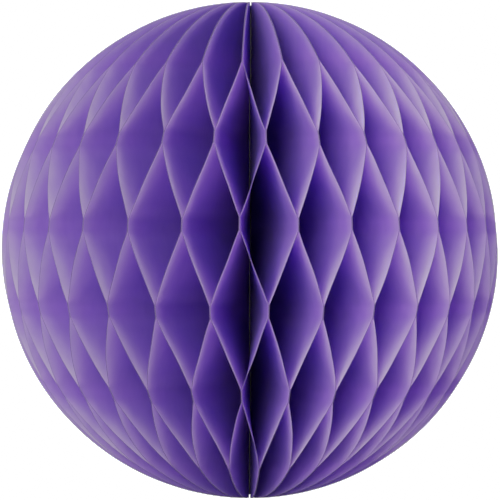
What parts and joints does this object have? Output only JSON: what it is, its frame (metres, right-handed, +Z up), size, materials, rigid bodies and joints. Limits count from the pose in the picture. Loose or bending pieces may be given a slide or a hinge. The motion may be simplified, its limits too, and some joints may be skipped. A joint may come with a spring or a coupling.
{
  "type": "paper honeycomb ball",
  "caption": "Party decoration: half-round paper leaves glued in alternate rows fan out from a central thread into a ball, and fold flat between two card covers.",
  "frame": {"origin": "centre of the open ball", "axes": "+Z up along the spine thread, -Y to the front, the joined covers at +Y"},
  "size_m": [0.1, 0.1, 0.1],
  "materials": {
    "paper": "matt purple honeycomb paper",
    "cover_card": "purple card, matt",
    "tape": "pale double-sided tape",
    "thread": "dark twisted cotton thread"
  },
  "bodies": {
    "cover_a": {"cover_a": "cover_card", "adhesive_strips": "tape", "spine_thread": "thread"},
    "leaf_01": {"leaf_01": "paper"},
    "leaf_02": {"leaf_02": "paper"},
    "leaf_03": {"leaf_03": "paper"},
    "leaf_04": {"leaf_04": "paper"},
    "leaf_05": {"leaf_05": "paper"},
    "leaf_06": {"leaf_06": "paper"},
    "leaf_07": {"leaf_07": "paper"},
    "leaf_08": {"leaf_08": "paper"},
    "leaf_09": {"leaf_09": "paper"},
    "leaf_10": {"leaf_10": "paper"},
    "leaf_11": {"leaf_11": "paper"},
    "leaf_12": {"leaf_12": "paper"},
    "leaf_13": {"leaf_13": "paper"},
    "leaf_14": {"leaf_14": "paper"},
    "leaf_15": {"leaf_15": "paper"},
    "leaf_16": {"leaf_16": "paper"},
    "leaf_17": {"leaf_17": "paper"},
    "leaf_18": {"leaf_18": "paper"},
    "leaf_19": {"leaf_19": "paper"},
    "leaf_20": {"leaf_20": "paper"},
    "leaf_21": {"leaf_21": "paper"},
    "leaf_22": {"leaf_22": "paper"},
    "leaf_23": {"leaf_23": "paper"},
    "leaf_24": {"leaf_24": "paper"},
    "leaf_25": {"leaf_25": "paper"},
    "leaf_26": {"leaf_26": "paper"},
    "leaf_27": {"leaf_27": "paper"},
    "leaf_28": {"leaf_28": "paper"},
    "leaf_29": {"leaf_29": "paper"},
    "leaf_30": {"leaf_30": "paper"},
    "leaf_31": {"leaf_31": "paper"},
    "leaf_32": {"leaf_32": "paper"},
    "leaf_33": {"leaf_33": "paper"},
    "leaf_34": {"leaf_34": "paper"},
    "leaf_35": {"leaf_35": "paper"},
    "leaf_36": {"leaf_36": "paper"},
    "leaf_37": {"leaf_37": "paper"},
    "leaf_38": {"leaf_38": "paper"},
    "leaf_39": {"leaf_39": "paper"},
    "leaf_40": {"leaf_40": "paper"},
    "leaf_41": {"leaf_41": "paper"},
    "leaf_42": {"leaf_42": "paper"},
    "leaf_43": {"leaf_43": "paper"},
    "leaf_44": {"leaf_44": "paper"},
    "leaf_45": {"leaf_45": "paper"},
    "leaf_46": {"leaf_46": "paper"},
    "leaf_47": {"leaf_47": "paper"},
    "leaf_48": {"leaf_48": "paper"},
    "leaf_49": {"leaf_49": "paper"},
    "leaf_50": {"leaf_50": "paper"},
    "leaf_51": {"leaf_51": "paper"},
    "leaf_52": {"leaf_52": "paper"},
    "leaf_53": {"leaf_53": "paper"},
    "leaf_54": {"leaf_54": "paper"},
    "leaf_55": {"leaf_55": "paper"},
    "leaf_56": {"leaf_56": "paper"},
    "cover_b": {"cover_b": "cover_card"}
  },
  "joints": [
    {"name": "fold", "type": "hinge", "parent": "cover_a", "child": "cover_b", "pos_m": [0, 0, 0], "axis": [0, 0, 1], "range_deg": [-336, 0]},
    {"name": "leaf_01_fold", "type": "hinge", "parent": "cover_a", "child": "leaf_01", "pos_m": [0, 0, 0], "axis": [0, 0, 1], "range_deg": [-4.36, 0.5], "deforming": ["leaf_01"]},
    {"name": "leaf_02_fold", "type": "hinge", "parent": "cover_a", "child": "leaf_02", "pos_m": [0, 0, 0], "axis": [0, 0, 1], "range_deg": [-12.05, 0.5], "deforming": ["leaf_02"]},
    {"name": "leaf_03_fold", "type": "hinge", "parent": "cover_a", "child": "leaf_03", "pos_m": [0, 0, 0], "axis": [0, 0, 1], "range_deg": [-19.68, 0.5], "deforming": ["leaf_03"]},
    {"name": "leaf_04_fold", "type": "hinge", "parent": "cover_a", "child": "leaf_04", "pos_m": [0, 0, 0], "axis": [0, 0, 1], "range_deg": [-27.18, 0.5], "deforming": ["leaf_04"]},
    {"name": "leaf_05_fold", "type": "hinge", "parent": "cover_a", "child": "leaf_05", "pos_m": [0, 0, 0], "axis": [0, 0, 1], "range_deg": [-34.53, 0.5], "deforming": ["leaf_05"]},
    {"name": "leaf_06_fold", "type": "hinge", "parent": "cover_a", "child": "leaf_06", "pos_m": [0, 0, 0], "axis": [0, 0, 1], "range_deg": [-41.69, 0.5], "deforming": ["leaf_06"]},
    {"name": "leaf_07_fold", "type": "hinge", "parent": "cover_a", "child": "leaf_07", "pos_m": [0, 0, 0], "axis": [0, 0, 1], "range_deg": [-48.62, 0.5], "deforming": ["leaf_07"]},
    {"name": "leaf_08_fold", "type": "hinge", "parent": "cover_a", "child": "leaf_08", "pos_m": [0, 0, 0], "axis": [0, 0, 1], "range_deg": [-55.33, 0.5], "deforming": ["leaf_08"]},
    {"name": "leaf_09_fold", "type": "hinge", "parent": "cover_a", "child": "leaf_09", "pos_m": [0, 0, 0], "axis": [0, 0, 1], "range_deg": [-61.78, 0.5], "deforming": ["leaf_09"]},
    {"name": "leaf_10_fold", "type": "hinge", "parent": "cover_a", "child": "leaf_10", "pos_m": [0, 0, 0], "axis": [0, 0, 1], "range_deg": [-68, 0.5], "deforming": ["leaf_10"]},
    {"name": "leaf_11_fold", "type": "hinge", "parent": "cover_a", "child": "leaf_11", "pos_m": [0, 0, 0], "axis": [0, 0, 1], "range_deg": [-73.97, 0.5], "deforming": ["leaf_11"]},
    {"name": "leaf_12_fold", "type": "hinge", "parent": "cover_a", "child": "leaf_12", "pos_m": [0, 0, 0], "axis": [0, 0, 1], "range_deg": [-79.73, 0.5], "deforming": ["leaf_12"]},
    {"name": "leaf_13_fold", "type": "hinge", "parent": "cover_a", "child": "leaf_13", "pos_m": [0, 0, 0], "axis": [0, 0, 1], "range_deg": [-85.3, 0.5], "deforming": ["leaf_13"]},
    {"name": "leaf_14_fold", "type": "hinge", "parent": "cover_a", "child": "leaf_14", "pos_m": [0, 0, 0], "axis": [0, 0, 1], "range_deg": [-90.7, 0.5], "deforming": ["leaf_14"]},
    {"name": "leaf_15_fold", "type": "hinge", "parent": "cover_a", "child": "leaf_15", "pos_m": [0, 0, 0], "axis": [0, 0, 1], "range_deg": [-95.97, 0.5], "deforming": ["leaf_15"]},
    {"name": "leaf_16_fold", "type": "hinge", "parent": "cover_a", "child": "leaf_16", "pos_m": [0, 0, 0], "axis": [0, 0, 1], "range_deg": [-101.16, 0.5], "deforming": ["leaf_16"]},
    {"name": "leaf_17_fold", "type": "hinge", "parent": "cover_a", "child": "leaf_17", "pos_m": [0, 0, 0], "axis": [0, 0, 1], "range_deg": [-106.28, 0.5], "deforming": ["leaf_17"]},
    {"name": "leaf_18_fold", "type": "hinge", "parent": "cover_a", "child": "leaf_18", "pos_m": [0, 0, 0], "axis": [0, 0, 1], "range_deg": [-111.38, 0.5], "deforming": ["leaf_18"]},
    {"name": "leaf_19_fold", "type": "hinge", "parent": "cover_a", "child": "leaf_19", "pos_m": [0, 0, 0], "axis": [0, 0, 1], "range_deg": [-116.5, 0.5], "deforming": ["leaf_19"]},
    {"name": "leaf_20_fold", "type": "hinge", "parent": "cover_a", "child": "leaf_20", "pos_m": [0, 0, 0], "axis": [0, 0, 1], "range_deg": [-121.66, 0.5], "deforming": ["leaf_20"]},
    {"name": "leaf_21_fold", "type": "hinge", "parent": "cover_a", "child": "leaf_21", "pos_m": [0, 0, 0], "axis": [0, 0, 1], "range_deg": [-126.88, 0.5], "deforming": ["leaf_21"]},
    {"name": "leaf_22_fold", "type": "hinge", "parent": "cover_a", "child": "leaf_22", "pos_m": [0, 0, 0], "axis": [0, 0, 1], "range_deg": [-132.17, 0.5], "deforming": ["leaf_22"]},
    {"name": "leaf_23_fold", "type": "hinge", "parent": "cover_a", "child": "leaf_23", "pos_m": [0, 0, 0], "axis": [0, 0, 1], "range_deg": [-137.56, 0.5], "deforming": ["leaf_23"]},
    {"name": "leaf_24_fold", "type": "hinge", "parent": "cover_a", "child": "leaf_24", "pos_m": [0, 0, 0], "axis": [0, 0, 1], "range_deg": [-143.03, 0.5], "deforming": ["leaf_24"]},
    {"name": "leaf_25_fold", "type": "hinge", "parent": "cover_a", "child": "leaf_25", "pos_m": [0, 0, 0], "axis": [0, 0, 1], "range_deg": [-148.59, 0.5], "deforming": ["leaf_25"]},
    {"name": "leaf_26_fold", "type": "hinge", "parent": "cover_a", "child": "leaf_26", "pos_m": [0, 0, 0], "axis": [0, 0, 1], "range_deg": [-154.22, 0.5], "deforming": ["leaf_26"]},
    {"name": "leaf_27_fold", "type": "hinge", "parent": "cover_a", "child": "leaf_27", "pos_m": [0, 0, 0], "axis": [0, 0, 1], "range_deg": [-159.91, 0.5], "deforming": ["leaf_27"]},
    {"name": "leaf_28_fold", "type": "hinge", "parent": "cover_a", "child": "leaf_28", "pos_m": [0, 0, 0], "axis": [0, 0, 1], "range_deg": [-165.63, 0.5], "deforming": ["leaf_28"]},
    {"name": "leaf_29_fold", "type": "hinge", "parent": "cover_a", "child": "leaf_29", "pos_m": [0, 0, 0], "axis": [0, 0, 1], "range_deg": [-171.37, 0.5], "deforming": ["leaf_29"]},
    {"name": "leaf_30_fold", "type": "hinge", "parent": "cover_a", "child": "leaf_30", "pos_m": [0, 0, 0], "axis": [0, 0, 1], "range_deg": [-177.09, 0.5], "deforming": ["leaf_30"]},
    {"name": "leaf_31_fold", "type": "hinge", "parent": "cover_a", "child": "leaf_31", "pos_m": [0, 0, 0], "axis": [0, 0, 1], "range_deg": [-182.78, 0.5], "deforming": ["leaf_31"]},
    {"name": "leaf_32_fold", "type": "hinge", "parent": "cover_a", "child": "leaf_32", "pos_m": [0, 0, 0], "axis": [0, 0, 1], "range_deg": [-188.41, 0.5], "deforming": ["leaf_32"]},
    {"name": "leaf_33_fold", "type": "hinge", "parent": "cover_a", "child": "leaf_33", "pos_m": [0, 0, 0], "axis": [0, 0, 1], "range_deg": [-193.97, 0.5], "deforming": ["leaf_33"]},
    {"name": "leaf_34_fold", "type": "hinge", "parent": "cover_a", "child": "leaf_34", "pos_m": [0, 0, 0], "axis": [0, 0, 1], "range_deg": [-199.44, 0.5], "deforming": ["leaf_34"]},
    {"name": "leaf_35_fold", "type": "hinge", "parent": "cover_a", "child": "leaf_35", "pos_m": [0, 0, 0], "axis": [0, 0, 1], "range_deg": [-204.83, 0.5], "deforming": ["leaf_35"]},
    {"name": "leaf_36_fold", "type": "hinge", "parent": "cover_a", "child": "leaf_36", "pos_m": [0, 0, 0], "axis": [0, 0, 1], "range_deg": [-210.12, 0.5], "deforming": ["leaf_36"]},
    {"name": "leaf_37_fold", "type": "hinge", "parent": "cover_a", "child": "leaf_37", "pos_m": [0, 0, 0], "axis": [0, 0, 1], "range_deg": [-215.34, 0.5], "deforming": ["leaf_37"]},
    {"name": "leaf_38_fold", "type": "hinge", "parent": "cover_a", "child": "leaf_38", "pos_m": [0, 0, 0], "axis": [0, 0, 1], "range_deg": [-220.5, 0.5], "deforming": ["leaf_38"]},
    {"name": "leaf_39_fold", "type": "hinge", "parent": "cover_a", "child": "leaf_39", "pos_m": [0, 0, 0], "axis": [0, 0, 1], "range_deg": [-225.62, 0.5], "deforming": ["leaf_39"]},
    {"name": "leaf_40_fold", "type": "hinge", "parent": "cover_a", "child": "leaf_40", "pos_m": [0, 0, 0], "axis": [0, 0, 1], "range_deg": [-230.72, 0.5], "deforming": ["leaf_40"]},
    {"name": "leaf_41_fold", "type": "hinge", "parent": "cover_a", "child": "leaf_41", "pos_m": [0, 0, 0], "axis": [0, 0, 1], "range_deg": [-235.84, 0.5], "deforming": ["leaf_41"]},
    {"name": "leaf_42_fold", "type": "hinge", "parent": "cover_a", "child": "leaf_42", "pos_m": [0, 0, 0], "axis": [0, 0, 1], "range_deg": [-241.03, 0.5], "deforming": ["leaf_42"]},
    {"name": "leaf_43_fold", "type": "hinge", "parent": "cover_a", "child": "leaf_43", "pos_m": [0, 0, 0], "axis": [0, 0, 1], "range_deg": [-246.3, 0.5], "deforming": ["leaf_43"]},
    {"name": "leaf_44_fold", "type": "hinge", "parent": "cover_a", "child": "leaf_44", "pos_m": [0, 0, 0], "axis": [0, 0, 1], "range_deg": [-251.7, 0.5], "deforming": ["leaf_44"]},
    {"name": "leaf_45_fold", "type": "hinge", "parent": "cover_a", "child": "leaf_45", "pos_m": [0, 0, 0], "axis": [0, 0, 1], "range_deg": [-257.27, 0.5], "deforming": ["leaf_45"]},
    {"name": "leaf_46_fold", "type": "hinge", "parent": "cover_a", "child": "leaf_46", "pos_m": [0, 0, 0], "axis": [0, 0, 1], "range_deg": [-263.03, 0.5], "deforming": ["leaf_46"]},
    {"name": "leaf_47_fold", "type": "hinge", "parent": "cover_a", "child": "leaf_47", "pos_m": [0, 0, 0], "axis": [0, 0, 1], "range_deg": [-269, 0.5], "deforming": ["leaf_47"]},
    {"name": "leaf_48_fold", "type": "hinge", "parent": "cover_a", "child": "leaf_48", "pos_m": [0, 0, 0], "axis": [0, 0, 1], "range_deg": [-275.22, 0.5], "deforming": ["leaf_48"]},
    {"name": "leaf_49_fold", "type": "hinge", "parent": "cover_a", "child": "leaf_49", "pos_m": [0, 0, 0], "axis": [0, 0, 1], "range_deg": [-281.67, 0.5], "deforming": ["leaf_49"]},
    {"name": "leaf_50_fold", "type": "hinge", "parent": "cover_a", "child": "leaf_50", "pos_m": [0, 0, 0], "axis": [0, 0, 1], "range_deg": [-288.38, 0.5], "deforming": ["leaf_50"]},
    {"name": "leaf_51_fold", "type": "hinge", "parent": "cover_a", "child": "leaf_51", "pos_m": [0, 0, 0], "axis": [0, 0, 1], "range_deg": [-295.31, 0.5], "deforming": ["leaf_51"]},
    {"name": "leaf_52_fold", "type": "hinge", "parent": "cover_a", "child": "leaf_52", "pos_m": [0, 0, 0], "axis": [0, 0, 1], "range_deg": [-302.47, 0.5], "deforming": ["leaf_52"]},
    {"name": "leaf_53_fold", "type": "hinge", "parent": "cover_a", "child": "leaf_53", "pos_m": [0, 0, 0], "axis": [0, 0, 1], "range_deg": [-309.82, 0.5], "deforming": ["leaf_53"]},
    {"name": "leaf_54_fold", "type": "hinge", "parent": "cover_a", "child": "leaf_54", "pos_m": [0, 0, 0], "axis": [0, 0, 1], "range_deg": [-317.32, 0.5], "deforming": ["leaf_54"]},
    {"name": "leaf_55_fold", "type": "hinge", "parent": "cover_a", "child": "leaf_55", "pos_m": [0, 0, 0], "axis": [0, 0, 1], "range_deg": [-324.94, 0.5], "deforming": ["leaf_55"]},
    {"name": "leaf_56_fold", "type": "hinge", "parent": "cover_a", "child": "leaf_56", "pos_m": [0, 0, 0], "axis": [0, 0, 1], "range_deg": [-332.64, 0.5], "deforming": ["leaf_56"]}
  ],
  "couplings": [
    {"joint": "leaf_01_fold", "follows": "fold", "ratio": 0.011488},
    {"joint": "leaf_02_fold", "follows": "fold", "ratio": 0.03439},
    {"joint": "leaf_03_fold", "follows": "fold", "ratio": 0.057077},
    {"joint": "leaf_04_fold", "follows": "fold", "ratio": 0.079414},
    {"joint": "leaf_05_fold", "follows": "fold", "ratio": 0.10128},
    {"joint": "leaf_06_fold", "follows": "fold", "ratio": 0.12258},
    {"joint": "leaf_07_fold", "follows": "fold", "ratio": 0.14323},
    {"joint": "leaf_08_fold", "follows": "fold", "ratio": 0.16317},
    {"joint": "leaf_09_fold", "follows": "fold", "ratio": 0.18239},
    {"joint": "leaf_10_fold", "follows": "fold", "ratio": 0.20088},
    {"joint": "leaf_11_fold", "follows": "fold", "ratio": 0.21867},
    {"joint": "leaf_12_fold", "follows": "fold", "ratio": 0.23581},
    {"joint": "leaf_13_fold", "follows": "fold", "ratio": 0.25238},
    {"joint": "leaf_14_fold", "follows": "fold", "ratio": 0.26846},
    {"joint": "leaf_15_fold", "follows": "fold", "ratio": 0.28415},
    {"joint": "leaf_16_fold", "follows": "fold", "ratio": 0.29957},
    {"joint": "leaf_17_fold", "follows": "fold", "ratio": 0.31482},
    {"joint": "leaf_18_fold", "follows": "fold", "ratio": 0.33001},
    {"joint": "leaf_19_fold", "follows": "fold", "ratio": 0.34524},
    {"joint": "leaf_20_fold", "follows": "fold", "ratio": 0.36058},
    {"joint": "leaf_21_fold", "follows": "fold", "ratio": 0.37612},
    {"joint": "leaf_22_fold", "follows": "fold", "ratio": 0.39188},
    {"joint": "leaf_23_fold", "follows": "fold", "ratio": 0.40791},
    {"joint": "leaf_24_fold", "follows": "fold", "ratio": 0.42421},
    {"joint": "leaf_25_fold", "follows": "fold", "ratio": 0.44075},
    {"joint": "leaf_26_fold", "follows": "fold", "ratio": 0.45751},
    {"joint": "leaf_27_fold", "follows": "fold", "ratio": 0.47444},
    {"joint": "leaf_28_fold", "follows": "fold", "ratio": 0.49147},
    {"joint": "leaf_29_fold", "follows": "fold", "ratio": 0.50853},
    {"joint": "leaf_30_fold", "follows": "fold", "ratio": 0.52556},
    {"joint": "leaf_31_fold", "follows": "fold", "ratio": 0.54249},
    {"joint": "leaf_32_fold", "follows": "fold", "ratio": 0.55925},
    {"joint": "leaf_33_fold", "follows": "fold", "ratio": 0.57579},
    {"joint": "leaf_34_fold", "follows": "fold", "ratio": 0.59209},
    {"joint": "leaf_35_fold", "follows": "fold", "ratio": 0.60811},
    {"joint": "leaf_36_fold", "follows": "fold", "ratio": 0.62388},
    {"joint": "leaf_37_fold", "follows": "fold", "ratio": 0.63942},
    {"joint": "leaf_38_fold", "follows": "fold", "ratio": 0.65476},
    {"joint": "leaf_39_fold", "follows": "fold", "ratio": 0.66999},
    {"joint": "leaf_40_fold", "follows": "fold", "ratio": 0.68518},
    {"joint": "leaf_41_fold", "follows": "fold", "ratio": 0.70043},
    {"joint": "leaf_42_fold", "follows": "fold", "ratio": 0.71585},
    {"joint": "leaf_43_fold", "follows": "fold", "ratio": 0.73154},
    {"joint": "leaf_44_fold", "follows": "fold", "ratio": 0.74762},
    {"joint": "leaf_45_fold", "follows": "fold", "ratio": 0.76419},
    {"joint": "leaf_46_fold", "follows": "fold", "ratio": 0.78133},
    {"joint": "leaf_47_fold", "follows": "fold", "ratio": 0.79912},
    {"joint": "leaf_48_fold", "follows": "fold", "ratio": 0.81761},
    {"joint": "leaf_49_fold", "follows": "fold", "ratio": 0.83683},
    {"joint": "leaf_50_fold", "follows": "fold", "ratio": 0.85677},
    {"joint": "leaf_51_fold", "follows": "fold", "ratio": 0.87742},
    {"joint": "leaf_52_fold", "follows": "fold", "ratio": 0.89872},
    {"joint": "leaf_53_fold", "follows": "fold", "ratio": 0.92059},
    {"joint": "leaf_54_fold", "follows": "fold", "ratio": 0.94292},
    {"joint": "leaf_55_fold", "follows": "fold", "ratio": 0.96561},
    {"joint": "leaf_56_fold", "follows": "fold", "ratio": 0.98851}
  ]
}
